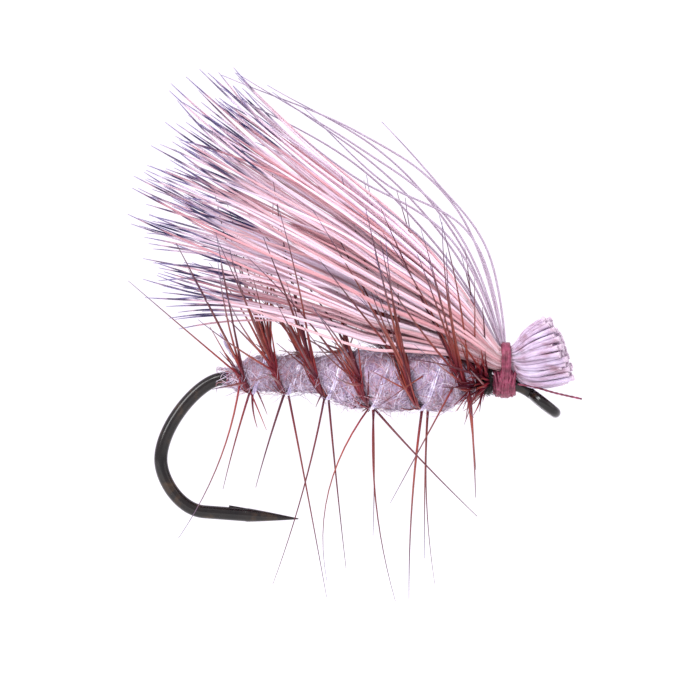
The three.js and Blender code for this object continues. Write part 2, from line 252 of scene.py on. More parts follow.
class Look:
    """A Principled material whose colour and surface are built from nodes."""

    def __init__(self, name, **values):
        self.material = bpy.data.materials.new(name)
        self.material.use_nodes = True
        self.tree = self.material.node_tree
        self.shader = self.tree.nodes["Principled BSDF"]
        self.place = self.tree.nodes.new("ShaderNodeTexCoord").outputs["Object"]
        for key, value in values.items():
            self.shader.inputs[key.replace("_", " ")].default_value = value

    def node(self, kind, **links):
        node = self.tree.nodes.new(kind)
        for key, value in links.items():
            socket = node.inputs[int(key[1:])] if key[0] == "i" and key[1:].isdigit() else node.inputs[key]
            if isinstance(value, bpy.types.NodeSocket):
                self.tree.links.new(value, socket)
            else:
                socket.default_value = value
        return node

    def trait(self, name):
        node = self.node("ShaderNodeAttribute")
        node.attribute_name = name
        return node.outputs["Fac"]

    def noise(self, feature, stretch=(1, 1, 1), detail=3.0):
        """Noise with features of this size in millimetres, longer along the axes with a small stretch."""
        mapping = self.node("ShaderNodeMapping", Vector=self.place)
        mapping.inputs["Scale"].default_value = stretch
        scale = 1 / (feature * MM)
        node = self.node("ShaderNodeTexNoise", Vector=mapping.outputs[0], Scale=scale, Detail=detail)
        return node.outputs["Fac"]

    def ramp(self, factor, *stops):
        node = self.node("ShaderNodeValToRGB", Fac=factor)
        elements = node.color_ramp.elements
        elements[0].position, elements[0].color = stops[0][0], srgb(stops[0][1])
        elements[1].position, elements[1].color = stops[-1][0], srgb(stops[-1][1])
        for position, value in stops[1:-1]:
            elements.new(position).color = srgb(value)
        return node.outputs["Color"]

    def blend(self, factor, low, high):
        node = self.node("ShaderNodeMix")
        node.data_type = "RGBA"
        for place, value in ((0, factor), (6, low), (7, high)):
            if isinstance(value, bpy.types.NodeSocket):
                self.tree.links.new(value, node.inputs[place])
            else:
                node.inputs[place].default_value = value
        return node.outputs[2]

    def span(self, value, low, high, out_low, out_high):
        node = self.node("ShaderNodeMapRange", i0=value, i1=low, i2=high, i3=out_low, i4=out_high)
        return node.outputs[0]

    def finish(self, colour, roughness=None, height=None, depth=0.01):
        self.tree.links.new(colour, self.shader.inputs["Base Color"])
        if roughness is not None:
            self.tree.links.new(roughness, self.shader.inputs["Roughness"])
        if height is not None:
            bump = self.node("ShaderNodeBump", Height=height, Strength=1.0, Distance=depth * MM)
            self.tree.links.new(bump.outputs[0], self.shader.inputs["Normal"])
        return self.material


def bronze_look():
    look = Look("bronzed_wire", IOR=1.3, Coat_Weight=0.2, Coat_Roughness=0.12, Sheen_Weight=0.6,
                Sheen_Roughness=0.12)
    wear = look.noise(0.5)
    fine = look.noise(0.06)
    colour = look.ramp(wear, (0.3, 0x080607), (0.55, 0x15100E), (0.75, 0x38291B))
    return look.finish(colour, look.span(fine, 0.2, 0.8, 0.14, 0.24), fine, 0.002)


def thread_look():
    look = Look("tying_thread", Specular_IOR_Level=0.45)
    tone = look.noise(0.18)
    fine = look.noise(0.03)
    colour = look.ramp(tone, (0.3, 0x52142C), (0.5, 0x70263E), (0.72, 0x8E3E5A))
    return look.finish(colour, look.span(fine, 0.2, 0.8, 0.28, 0.5), fine, 0.008)


def fur_look():
    look = Look("dubbing_fur", Roughness=0.95, Sheen_Weight=0.5, Sheen_Roughness=0.5)
    lump = look.noise(0.7, detail=5.0)
    fine = look.noise(0.09, (0.5, 1, 1), detail=6.0)
    wool = look.ramp(lump, (0.3, 0x8C7696), (0.48, 0xAE98B6), (0.7, 0xC8B6D0))
    # Painted shade: the wool turns darker and pinker along the top of the body, under the wing.
    tinted = look.blend(look.trait("warm"), wool, srgb(0x9C646A))
    # Painted shade in the fur's hollows: where the fine noise sinks the bump, the colour darkens.
    colour = look.blend(look.span(fine, 0.3, 0.7, 0.4, 0.0), tinted, srgb(0x6A4A6A))
    return look.finish(colour, None, fine, 0.05)


def fibre_look():
    look = Look("dubbing_fibres", Roughness=0.6, Specular_IOR_Level=0.4, Sheen_Weight=0.3)
    fine = look.noise(0.2)
    colour = look.ramp(look.trait("tint"), (0.0, 0x7A6482), (0.25, 0xBAA8C4), (0.62, 0xE4DAEC),
                       (0.8, 0xC08E9C), (1.0, 0x8A5250))
    shaded = look.blend(look.span(fine, 0.3, 0.7, 0.3, 0.0), colour, srgb(0x6C5868))
    return look.finish(shaded, None, fine, 0.004)


def rib_look():
    look = Look("rib_strand", Roughness=0.2, Specular_IOR_Level=0.9, Coat_Weight=0.8, Coat_Roughness=0.08)
    # Painted sheen: noise lays bright pearly patches and glints along the strand.
    painted_sheen = look.noise(0.35)
    colour = look.ramp(painted_sheen, (0.35, 0x8C7CA6), (0.5, 0xAEA2C0), (0.6, 0xE0DAEA), (0.7, 0x9CA0C2))
    return look.finish(colour, None, look.noise(0.08), 0.006)


def barb_look():
    look = Look("hackle_barbs", Specular_IOR_Level=0.3)
    along = look.ramp(look.trait("along"), (0.0, 0x5A0C20), (0.1, 0x7E1C28), (0.22, 0x923C2C),
                      (0.5, 0x82483E), (0.75, 0x624854), (1.0, 0x5A5678))
    tinted = look.blend(look.trait("tint"), along, srgb(0x440C20))
    streak = look.noise(0.25)
    colour = look.blend(look.span(streak, 0.35, 0.65, 0.25, 0.0), tinted, srgb(0x2A0614))
    return look.finish(colour, look.span(streak, 0.3, 0.7, 0.3, 0.5), look.noise(0.04), 0.004)


def herl_look():
    look = Look("dark_herl", Specular_IOR_Level=0.2)
    tone = look.noise(0.12)
    colour = look.ramp(tone, (0.3, 0x080505), (0.55, 0x140D0D), (0.75, 0x2A2420))
    return look.finish(colour, look.span(tone, 0.3, 0.7, 0.35, 0.6), look.noise(0.03), 0.006)


def hair_look():
    look = Look("elk_hair", Specular_IOR_Level=0.25, Subsurface_Weight=0.65, Subsurface_Scale=0.13 * MM,
                Subsurface_Radius=(1, 0.95, 1))
    wing = look.ramp(look.trait("tint"), (0.0, 0xE2D8EC), (0.25, 0xDEC6D2), (0.45, 0xD8B0B6),
                     (0.65, 0xC49096), (1.0, 0x965C64))
    streak = look.noise(0.4, (0.12, 1, 1), detail=4.0)
    streaked = look.blend(look.span(streak, 0.35, 0.65, 0.2, 0.0), wing, srgb(0xA6747A))
    # Painted shade: the butts' darker patches stand in for shade at their sides and between them, laid by
    # noise.
    shade_patches = look.noise(0.3, (0.2, 1, 1), detail=4.0)
    butts = look.ramp(shade_patches, (0.3, 0x866674), (0.5, 0xAC9AB0), (0.7, 0xC2B6CC))
    haired = look.blend(look.trait("butt"), streaked, butts)
    cut = look.blend(look.trait("cut"), haired, srgb(0xB6A4B2))
    dark = look.blend(look.trait("dark"), cut, srgb(0x08063C))
    colour = look.blend(look.trait("tip"), dark, srgb(0x575076))
    fine = look.noise(0.05, (0.3, 1, 1))
    return look.finish(colour, look.span(fine, 0.3, 0.7, 0.3, 0.48), fine, 0.006)


# Hook

def spear_height(x):
    return mix(SPEAR, POINT_HEIGHT, (x - SPEAR_START) / (POINT_TIP - SPEAR_START))


def hook_part():
    """The wire from its neck behind the eye, along the shank and round the bend, to the needle point."""
    neck = (-EYE_RADIUS * math.cos(EYE_DROP), 0, EYE_RADIUS * math.sin(EYE_DROP))
    kink = (neck[0] - (SHANK - neck[2]) / math.tan(EYE_DROP), 0, SHANK)
    straight = kink[0] - NECK_EASE
    fall = (POINT_HEIGHT - SPEAR) / (POINT_TIP - SPEAR_START)
    to_shank = bezier([neck, kink, (straight, 0, SHANK)], np.linspace(0, 1, 12))
    upper = bezier([(BEND_START, 0, SHANK), (BEND_START - SHANK_PULL, 0, SHANK),
                    (BEND_BACK, 0, BEND_MIDDLE + RISE_PULL), (BEND_BACK, 0, BEND_MIDDLE)],
                   np.linspace(0, 1, 40))
    lower = bezier([(BEND_BACK, 0, BEND_MIDDLE), (BEND_BACK, 0, BEND_MIDDLE - FALL_PULL),
                    (SPEAR_START - SPEAR_PULL, 0, SPEAR - SPEAR_PULL * fall), (SPEAR_START, 0, SPEAR)],
                   np.linspace(0, 1, 40))[1:]
    spear_x = np.linspace(SPEAR_START, POINT_TIP, 40)[1:]
    spear = np.stack([spear_x, 0 * spear_x, spear_height(spear_x)], axis=1)
    line = np.vstack([to_shank, upper, lower, spear])
    on_top = np.arange(len(line)) < len(to_shank) + len(upper)
    neck_down = smoothstep(line[:, 0], NECK_REAR, NECK_FRONT) * on_top
    worn = np.clip((line[:, 0] - BARB_ROOT) / (POINT_TIP - BARB_ROOT), 0, 1) * ~on_top
    radii = mix(WIRE / 2, EYE_WIRE / 2, neck_down)
    radii = np.where(worn > 0, mix(NEEDLE_ROOT, NEEDLE_TIP, worn ** NEEDLE_TAPER), radii)
    return strands([line], [radii], 32, guide=ACROSS)


def hook():
    """The wire with its ring eye, turned down, and a low barb on the spear."""
    turn = np.linspace(0, TAU, 96, endpoint=False)
    eye = np.stack([EYE_RADIUS * np.cos(turn) * math.cos(EYE_DROP), EYE_RADIUS * np.sin(turn),
                    -EYE_RADIUS * np.cos(turn) * math.sin(EYE_DROP)], axis=1)
    axis = np.array([math.sin(EYE_DROP), 0, math.cos(EYE_DROP)])
    eye_part = strands([eye], EYE_WIRE / 2, 28, guide=axis, looped=True)
    steps = 10
    root = spear_height(BARB_ROOT)
    barb = bezier([(BARB_ROOT, 0, root + 0.1), (BARB_ROOT - 0.3, 0, root + 0.2),
                   (BARB_END, 0, spear_height(BARB_END) + BARB_RISE)], np.linspace(0, 1, steps))
    spur = strands([barb], [np.linspace(SPUR_ROOT, SPUR_TIP, steps)], 16, guide=ACROSS)
    add_piece("bronzed_hook", [hook_part(), eye_part, spur], bronze_look(), ["hook"])


# Body

def along(x):
    return np.clip((x - TAIL) / (NOSE - TAIL), 0, 1)


def swell(x):
    return smoothstep(along(x), SWELL_FROM, SWELL_TO)


def tail_rise(x):
    return smoothstep(along(x), 0, RISE_TO)


def body_radius(x):
    rear = mix(TAIL_END, TAIL_GIRTH, tail_rise(x))
    return mix(mix(rear, GIRTH, swell(x)), NOSE_GIRTH, smoothstep(along(x), TAPER_FROM, TAPER_TO))


def body_centre(x):
    return SHANK + mix(mix(HUMPS[0], HUMPS[1], tail_rise(x)), HUMPS[2], swell(x))


def on_body(x, turn, outside):
    """Points on the body. Turn 0 is on top, a quarter is on the -Y side and a half is below."""
    reach = body_radius(x) + outside
    angle = TAU * turn
    return np.stack([x + 0 * angle, -reach * np.sin(angle), body_centre(x) + reach * np.cos(angle)], axis=-1)


def stem_x(turns):
    return FIRST_BOTTOM + FIRST_PITCH * turns + PITCH_GROWTH / 2 * turns ** 2


def turns_at(x):
    return (-FIRST_PITCH + np.sqrt(FIRST_PITCH ** 2 + 2 * PITCH_GROWTH * (x - FIRST_BOTTOM))) / PITCH_GROWTH


def stem_radius(x):
    return mix(STEM_THIN, STEM_THICK, along(x))


def stem_outside(x):
    """The stem lies on the slim rear of the body and sinks into the fur further forward."""
    return mix(STEM_THIN + 0.015, -0.06, swell(x))


def stem_point(turns):
    x = stem_x(turns)
    return on_body(x, turns + 0.5, stem_outside(x))


def stem_distance(x, turn):
    """How far a place on the body is from the nearest turn of the stem, along the shank."""
    turns = turns_at(x)
    away = turns - (turn - 0.5)
    return np.abs(away - np.round(away)) * (FIRST_PITCH + PITCH_GROWTH * turns)


def fur_relief(x, turn):
    """The groove that the stem presses in, the bulge between turns and the ridges of the wound fur."""
    distance = stem_distance(x, turn)
    groove = np.maximum(0, stem_radius(x) + 0.03 - stem_outside(x))
    groove = groove * (1 - smoothstep(distance, *GROOVE_EDGES))
    bulge = BULGE * swell(x) * smoothstep(distance, 0.2, 0.75) * (1 - smoothstep(along(x), 0.86, 0.98))
    ridge = np.sin(TAU * (x / RIDGE_GAPS[0] - turn))
    ridge = ridge + 0.6 * np.sin(TAU * (x / RIDGE_GAPS[1] + 2 * turn) + 1.3)
    lump = np.sin(TAU * (x / 0.83 + 3 * turn)) * np.cos(TAU * (2 * turn - x / 1.1))
    return bulge - groove + RIDGE * ridge + LUMP * lump


def dubbing_core():
    """The wound fur, a closed skin with a bore for the thread underbody."""
    stations, sides = 300, 120
    x = np.linspace(TAIL, NOSE, stations)[:, None]
    turn = np.arange(sides)[None] / sides
    outer = on_body(x, turn, fur_relief(x, turn))
    inner = np.stack([np.stack([np.full(sides, end), -BORE * np.sin(TAU * turn[0]),
                                SHANK + BORE * np.cos(TAU * turn[0])], axis=1) for end in (NOSE, TAIL)])
    rings = np.concatenate([outer, inner])[None]
    vertices, faces, _ = skin(rings, {}, looped=True)
    upward = np.clip((vertices[:, 2] - body_centre(vertices[:, 0])) / GIRTH, -1, 1)
    # Painted shade: a share that darkens the fur's top, under the wing, rising with height over the body's
    # centre.
    warm = 0.75 * smoothstep(upward, 0.35, 0.95)
    add_piece("dubbing_fur", [(vertices, faces, {"warm": warm})], fur_look(), ["dubbing_body"],
              crisp=False)


def fibre_part(rng, count, length, lift, thickness, first, last, below=False):
    """Stray fibres that lie round the body and lift off it towards their free ends."""
    points = 9
    share = np.linspace(0, 1, points)[None]
    x = rng.uniform(first, last, count)[:, None]
    turn = (rng.normal(0.5, 0.12, count) if below else rng.uniform(0, 1, count))[:, None]
    heading = rng.normal(0, 0.7, count)[:, None]
    heading += np.pi * (rng.random(count) < 0.5)[:, None]
    bend = rng.normal(0, 1.6, count)[:, None]
    size = rng.uniform(0.5, 1.0, count)[:, None] * length
    curl = heading + bend * share
    step = size / (points - 1)
    ahead = np.cumsum(np.sin(curl) * step, axis=1)
    round_body = np.cumsum(np.cos(curl) * step, axis=1)
    here = np.clip(x + ahead, under_low[0] - 0.4, NOSE + 0.06)
    place = turn + round_body / (TAU * body_radius(x))
    rise = rng.uniform(0.15, 1.0, count)[:, None] * lift * share ** 1.6
    sunk = (TAIL_END - under_high[1]) * smoothstep(TAIL - here, -0.1, 0.35)
    outside = fur_relief(here, place) + 0.004 + rise - sunk
    lines = on_body(here, place, outside)
    radii = thickness * (1 - 0.75 * share ** 2) * rng.uniform(0.7, 1.3, count)[:, None]
    tint = np.repeat(rng.random(count)[:, None], points, axis=1)
    return strands(lines, radii, 3, {"tint": tint})


def dubbing_fibres():
    rng = np.random.default_rng(3)
    front = NOSE - 0.1
    # Number of fibres, longest length, highest lift, thickness, and the stretch of the body that they grow on
    parts = [
        fibre_part(rng, 2400, 1.4, 0.1, 0.016, TAIL, front),
        fibre_part(rng, 460, 1.7, 0.42, 0.014, TAIL, front),
        fibre_part(rng, 160, 1.2, 0.6, 0.011, TAIL, front, below=True),
        fibre_part(rng, 200, 0.7, 0.12, 0.013, under_low[0] + 0.1, TAIL + 0.1),
        fibre_part(rng, 260, 0.6, 0.12, 0.013, NOSE - 0.3, NOSE),
    ]
    add_piece("dubbing_fibres", parts, fibre_look(), crisp=False)


def rib():
    """Two pearly strands side by side, wound against the hackle, with their loose ends behind the tail."""
    turns = np.linspace(RIB_FIRST, RIB_LAST, 560)
    x = stem_x(turns)
    crossing = 1 - smoothstep(stem_distance(x, 0.5 - turns), 0.12, 0.4)
    over_stem = stem_outside(x) + stem_radius(x) + 0.02 + 0.6 * RIB_STRAND
    wound = on_body(x, 0.5 - turns, mix(fur_relief(x, 0.5 - turns) - 0.3 * RIB_STRAND, over_stem, crossing))
    start = wound[0]
    lines = []
    for beside, up in ((-1, 1.2), (1, 0.9)):
        tag = through([start + [-0.72 + 0.05 * beside, -0.2 - 0.1 * beside, up],
                       start + [-0.42, -0.1 - 0.04 * beside, 0.5 * up], start], np.linspace(0, 1.95, 40))
        line = np.vstack([tag, wound])
        line[:, 0] += beside * RIB_STRAND * np.linspace(0.3, 1, len(line)) ** 0.2
        lines.append(line)
    radii = np.full(len(lines[0]), RIB_STRAND)
    worn = 6
    radii[:worn] *= np.linspace(0.6, 1, worn)
    add_piece("pearl_rib", [strands(lines, radii, 12, guide=FORWARD)], rib_look(),
              ["rib"])


# Hackle

SHEAF_BARBS = 62                                # barbs in one turn of the stem that lie back over the fur
COLLAR_BARBS = 36                               # and that stand out
LAST_BARBS = 140                                # where the feather is tied off
LONG_BARB = 0.052                               # a long barb's radius at its root
SHORT_BARB = 0.05


def stem_frame(turns):
    """For places on the stem: root, way straight out of the body, and way back along the stem."""
    root = stem_point(turns)
    out = root.copy()
    out[:, 0] = 0
    out[:, 2] -= body_centre(root[:, 0])
    back = unit(stem_point(turns - 0.01) - root)
    return root, unit(out), back


def barb_part(rng, root, way, length, thickness, bow):
    """Tapered barbs from roots along ways, each a little bowed."""
    count, points = len(root), 13
    share = np.linspace(0, 1, points)
    side = unit(np.cross(way, rng.normal(0, 1, (count, 3))))
    middle = root + way * length[:, None] * 0.5 + side * (rng.normal(0, bow, count) * length)[:, None]
    end = root + way * length[:, None] - side * (rng.normal(0, 0.5 * bow, count) * length)[:, None]
    t = share[None, :, None]
    lines = (1 - t) ** 2 * root[:, None] + 2 * t * (1 - t) * middle[:, None] + t ** 2 * end[:, None]
    radii = thickness * mix(1, 0.2, share ** 1.1)[None] * rng.uniform(0.8, 1.15, count)[:, None]
    traits = {"along": np.broadcast_to(share, (count, points)) * np.minimum(1, length / 5)[:, None],
              "tint": np.repeat((rng.random(count) ** 1.5)[:, None], points, axis=1)}
    return strands(lines, radii, 6, traits)


def sheaf_part(rng, low, high):
    """Barbs that lie back over the fur beside the stem, then leave the body straight on."""
    count = int(SHEAF_BARBS * (high - low))
    steps = 16
    turns = rng.uniform(low, high, count)[:, None]
    turns = turns[rng.random(count) < np.interp(turns[:, 0], [0, 0.6, 4, 4.5], [0.3, 0.9, 0.9, 1])]
    count = len(turns)
    length = rng.uniform(1.2, 3.6, count)[:, None]
    held = np.minimum(rng.uniform(0.5, 1.9, count)[:, None], 0.8 * length)
    rises = turns % 1 > 0.45
    length = np.where(rises, length, 0.5 * length)
    held = np.where(rises, held, 0.8 * length)
    fan = rng.normal(-0.1, 0.16, count)[:, None]
    lift = rng.uniform(0.02, 0.16, count)[:, None]
    travel = length * np.linspace(0, 1, steps)[None]
    round_body = TAU * body_radius(stem_x(turns))
    per_turn = np.hypot(round_body, FIRST_PITCH + PITCH_GROWTH * turns)

    def laid(distance):
        passed = turns - distance / per_turn
        x = stem_x(passed)
        above = stem_outside(x) + 0.03 + lift * (distance / held) ** 1.5
        return on_body(x + fan * distance, passed + 0.5, above)

    lines = laid(np.minimum(travel, held))
    leaving = unit(laid(held) - laid(held - 0.05))
    lines = lines + leaving * np.maximum(0, travel - held)[..., None]
    share = travel / length
    radii = SHORT_BARB * mix(1, 0.25, share ** 1.3) * rng.uniform(0.8, 1.15, count)[:, None]
    traits = {"along": share * np.minimum(1, length / 7),
              "tint": np.repeat(rng.random(count)[:, None] * 0.8, steps, axis=1)}
    end = lines[:, -1]
    height = end[:, 2] - body_centre(end[:, 0])
    hangs = (height < 0.3) & (np.hypot(end[:, 1], height) > body_radius(end[:, 0]) + 0.2)
    return strands(lines[~hangs], radii[~hangs], 6, {name: value[~hangs] for name, value in traits.items()})


def collar_of_barbs(rng, low, high):
    """Long barbs that stand out from the sides and top of the body."""
    count = int(COLLAR_BARBS * (high - low))
    turns = rng.uniform(low, high, count)
    root, out, back = stem_frame(turns)
    lean = np.radians(rng.uniform(12, 48, count))[:, None]
    aside = rng.normal(-0.14, 0.16, count)[:, None] * FORWARD
    way = unit(out * np.cos(lean) + back * np.sin(lean) + aside)
    length = rng.uniform(5.4, 7.3, count) * np.where(rng.random(count) < 0.2, 0.55, 1)
    kept = way[:, 2] > 0.9 * np.abs(way[:, 0]) - 0.2
    return barb_part(rng, root[kept], way[kept], length[kept], LONG_BARB, 0.04)


# Barbs that stand out singly: where each leaves the stem in turns, its slant from straight down in degrees
# (forward is positive), its length seen from the side, and how far it leans towards the -Y side in degrees
SINGLE_BARBS = [
    (-0.34, -19, 6.6, 14), (-0.05, -16, 3.9, -10), (-0.1, 25, 1.7, 8), (0.02, 6, 1.35, 20),
    (0.1, 24, 1.1, -15), (0.96, -16, 3.7, 25), (1.03, 12, 7.8, 4), (1.92, -25, 0.6, 0),
    (1.97, -16, 7.2, 12), (2.05, 7.5, 6.6, -12), (3.0, -13, 6.7, 10), (3.04, 2, 5.0, -30),
    (3.08, 3.6, 7.5, 3), (3.02, 45, 5.6, 22), (4.05, -7, 7.2, 8), (4.16, 1, 6.4, -18),
    (4.2, -2.5, 7.3, 6), (4.55, -55, 3.2, 35), (4.7, -28, 5.4, 18), (4.84, 6, 3.1, -25),
    (4.9, 3.5, 3.9, 15), (-0.2, -131, 5.6, 18), (-0.25, -135, 1.3, 10), (2.95, -141, 7.0, 22),
    (3.75, -165, 6.6, 20), (3.85, -166, 6.0, 24), (4.7, -161, 4.6, 30), (4.8, -173, 6.0, 26),
    (4.85, -170, 5.0, 34), (4.9, -167, 6.6, 20),
]


def single_part(rng, low, high):
    """The single barbs that leave the stem between two turns."""
    chosen = np.array([row for row in SINGLE_BARBS if low <= row[0] < high])
    root = stem_point(chosen[:, 0])
    slant, lean = np.radians(chosen[:, 1]), np.radians(chosen[:, 3])
    way = np.stack([np.sin(slant) * np.cos(lean), -np.sin(lean), -np.cos(slant) * np.cos(lean)], axis=1)
    return barb_part(rng, root, way, chosen[:, 2] / np.cos(lean), LONG_BARB, 0.09)


def last_barbs(rng):
    """The crowded barbs where the feather is tied off, round the front of the body and over the herl."""
    count = LAST_BARBS
    angle = rng.uniform(-0.36, 0.36, count)[:, None] * TAU
    out = np.concatenate([0 * angle, -np.sin(angle), np.cos(angle)], axis=1)
    root = np.array([NOSE, 0, SHANK + 0.04]) + 0.44 * out
    root[:, 0] += rng.uniform(-0.12, 0.58, count)
    around = np.cross(FORWARD, out)
    lean = np.radians(rng.uniform(0, 40, count))[:, None]
    aside = around * rng.normal(0, 0.3, count)[:, None]
    way = out * np.cos(lean) - FORWARD * np.sin(lean) + aside
    length = rng.uniform(0.5, 1.7, count) * np.where(rng.random(count) < 0.2, 3.2, 1)
    return barb_part(rng, root, unit(way), length, SHORT_BARB, 0.07)


def hackle():
    """One feather: its wound stem, and its barbs in a group for each turn."""
    rng = np.random.default_rng(21)
    material = barb_look()
    steps = 420
    turns = np.linspace(FIRST_TURN, LAST_TURN, steps)
    stem = stem_point(turns)
    radii = stem_radius(stem[:, 0])
    tied_in = 12
    radii[:tied_in] *= np.linspace(0.3, 1, tied_in)
    traits = {"along": np.zeros((1, steps)), "tint": np.full((1, steps), 0.4)}
    stem_part = strands([stem], [radii], 12, traits, guide=FORWARD)
    add_piece("hackle_stem", [stem_part], material, ["hackle_feather"])
    edges = [FIRST_TURN, 0.5, 1.5, 2.5, 3.5, LAST_TURN + 0.01]
    for number, (low, high) in enumerate(zip(edges, edges[1:]), 1):
        parts = [sheaf_part(rng, low, high), collar_of_barbs(rng, low, high), single_part(rng, low, high)]
        if number == len(edges) - 1:
            parts.append(last_barbs(rng))
        add_piece(f"hackle_barbs_{number}", parts, material, ["hackle_feather"])


# Wing

def centre_line(node):
    """A CAD hair's centre line from its butt to its tip: the middles of its rings of vertices."""
    ring_gap = 0.17
    vertices = np.array([vertex.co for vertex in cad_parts[node].data.vertices]) / MM
    vertices = np.unique(vertices.round(4), axis=0)
    vertices = vertices[np.argsort(-vertices[:, 0])]
    breaks = np.where(-np.diff(vertices[:, 0]) > ring_gap)[0] + 1
    return np.array([ring.mean(axis=0) for ring in np.split(vertices, breaks)])


HAIRS_PER_LOCK = 5
WING_TOP = cad_box[1][2] / MM + 0.4             # the highest that a hair's tip may reach
BUTT_DROOPS = [0.55, 0.4, 0.22, 0.1, 0.05, 0, 0]   # how far each row's butts sag in front of the thread

# Places along a hair: 0 is its butt, 2 and 3 are where it enters and leaves the thread's grip
GRIP_FRONT, GRIP_REAR = 2, 3
BUTT_SHARES = np.linspace(0, 1, 12)
GRIP_PLACES = np.linspace(2.15, GRIP_REAR, 4)
WING_SHARES = 1 - (1 - np.linspace(0, 1, 37)[1:]) ** 1.5     # closer together towards the tip

SIDEWAYS = np.array([0.15, 1, 1])               # a hair strays sideways and up more than along the wing
STRAY_FROM = 3.6                                # the place behind the thread where hairs begin to stray
DRIFT, LOWEST_DRIFT = 0.6, -0.45                # spread of the hairs' straying, and its furthest down
FLICK = 0.8                                     # spread of the turn aside that the last stretch takes
WAVE = 0.06                                     # height of a hair's waves
GRIPPED_HAIR = 0.055                            # radius in the thread's grip
TIP_TAPER = ([0, 0.6, 1, 2.4, 5, 7, 9],         # distances from the tip
             [0.01, 0.024, 0.036, 0.036, 0.045, 0.062, 1])   # and the largest radius at each


def hair_path(rng, line, angle, main, droop):
    """A hair's places and points. It strays from its lock's line, which the main hair keeps close to."""
    last = len(line) - 1
    reach = 1.0 if main else rng.uniform(0.88, 1.0)
    butt_start = 0 if main else rng.uniform(0.02, 0.3)
    behind = GRIP_REAR + (last - GRIP_REAR) * WING_SHARES * reach
    places = np.concatenate([mix(butt_start, GRIP_FRONT, BUTT_SHARES), GRIP_PLACES, behind])
    points = through(line, places)
    tangents = unit(np.gradient(points, axis=0))
    level = unit(np.cross(tangents, ACROSS))
    away = np.interp(places, [0, 1, 2, 3, 5, last], [0.24, 0.14, 0.04, 0.04, 0.2, 0.5])
    away = away * rng.uniform(0.6, 1.2) * (0.3 if main else 1)
    ahead = np.clip(1 - places / GRIP_FRONT, 0, 1)
    points[:, 2] -= droop * np.sin(math.pi * ahead ** 0.6) * rng.uniform(0.4, 1)
    points[:, 2] += 0.6 * droop * ahead ** 1.5
    points[:, 0] += 0.55 * droop * ahead
    points += away[:, None] * (np.cos(angle) * level + np.sin(angle) * ACROSS)
    late = np.clip((places - STRAY_FROM) / (last - STRAY_FROM), 0, 1)[:, None]
    drift = rng.normal(0, DRIFT, 3) * SIDEWAYS
    drift[2] = max(drift[2], LOWEST_DRIFT)
    points += drift * late ** 1.1
    points += rng.normal(0, FLICK, 3) * SIDEWAYS * late ** 4
    wave = WAVE * np.sin(places[:, None] * rng.uniform(0.9, 1.6) + rng.uniform(0, TAU, 3)) * (late + 0.2)
    points += wave * [0.2, 1, 1]
    points[:, 2:] -= max(0, points[-1, 2] - WING_TOP) * (late / late[-1]) ** 2
    return places, points


def hair_radii(rng, places, from_tip, last, main):
    """Fat butts, a squeeze in the thread's grip, and a long taper to the tip."""
    butt = rng.uniform(0.106, 0.12) if main else rng.uniform(0.09, 0.108)
    early = rng.uniform(0.08, 0.1) if main else rng.uniform(0.06, 0.08)
    radii = np.interp(places, [0, 0.2, 1.1, 1.9, 3, 3.5, 5, 7, last],
                      [butt, butt, 0.88 * butt, GRIPPED_HAIR, GRIPPED_HAIR, early, 0.92 * early, 0.76 * early,
                       0.6 * early])
    return np.minimum(radii, np.interp(from_tip, *TIP_TAPER))


def hair_traits(rng, places, from_tip):
    """Colour traits: a pale tip, a dark band, a dusky stretch behind it, and a deeper tint towards the root,
    which is painted shade.
    """
    start, width = rng.uniform(0.35, 1.0), rng.uniform(0.4, 1.35)
    band = smoothstep(from_tip, start - 0.1, start + 0.1)
    band = band * (1 - smoothstep(from_tip, start + width - 0.1, start + width + 0.2))
    dusky = 0.4 * (1 - smoothstep(from_tip, 1.4, 4.6))
    # The tint's random part is each hair's own colour; the part that deepens towards the root is painted
    # shade under the barbs.
    tint = 0.72 * rng.beta(1.5, 2.0) + 0.22 * (1 - smoothstep(places, 3, 5.5))
    strength = rng.uniform(0.85, 1) if rng.random() < 0.8 else 0.4
    return {
        "tint": tint,
        "butt": 1 - smoothstep(places, 1.9, 2.4),
        "cut": (np.arange(len(places)) == 0).astype(float),
        "dark": np.maximum(dusky, band * strength),
        "tip": 1 - smoothstep(from_tip, start - 0.15, start + 0.05),
    }


def lock(rng, node, droop):
    """The hairs of one lock. The first keeps near the CAD hair's line, and the rest run beside it."""
    line = centre_line(node)
    last = len(line) - 1
    phase = rng.uniform(0, TAU)
    lines, radii, traits = [], [], []
    for index in range(HAIRS_PER_LOCK):
        main = index == 0
        places, points = hair_path(rng, line, phase + TAU * index / HAIRS_PER_LOCK, main, droop)
        from_tip = np.append(np.linalg.norm(np.diff(points, axis=0), axis=1)[::-1].cumsum()[::-1], 0)
        lines.append(points)
        radii.append(hair_radii(rng, places, from_tip, last, main))
        traits.append(hair_traits(rng, places, from_tip))
    joined = {name: np.array([row[name] for row in traits]) for name in traits[0]}
    return strands(lines, np.array(radii), 8, joined, guide=np.array([0.2, 1.0, 0.3]))


# Long stray hairs above the wing: lift above its top edge early, late and at the tip, lean to +Y, and the
# share of the wing's length that each reaches
STRAY_HAIRS = [
    (2.0, 1.8, 0.45, 0.3, 1.0), (1.5, 1.4, 0.8, -0.2, 0.97), (1.1, 0.5, 0.5, -0.7, 0.94),
    (0.6, 0.9, 0.1, 0.8, 0.99), (1.8, 2.2, 2.6, 0.2, 0.62), (1.7, 1.0, 1.3, -0.5, 0.8),
    (0.9, 1.3, 1.1, 0.5, 0.88), (0.4, 0.3, 0.7, -0.3, 0.96), (1.3, 1.8, 1.2, 1.0, 0.9),
]


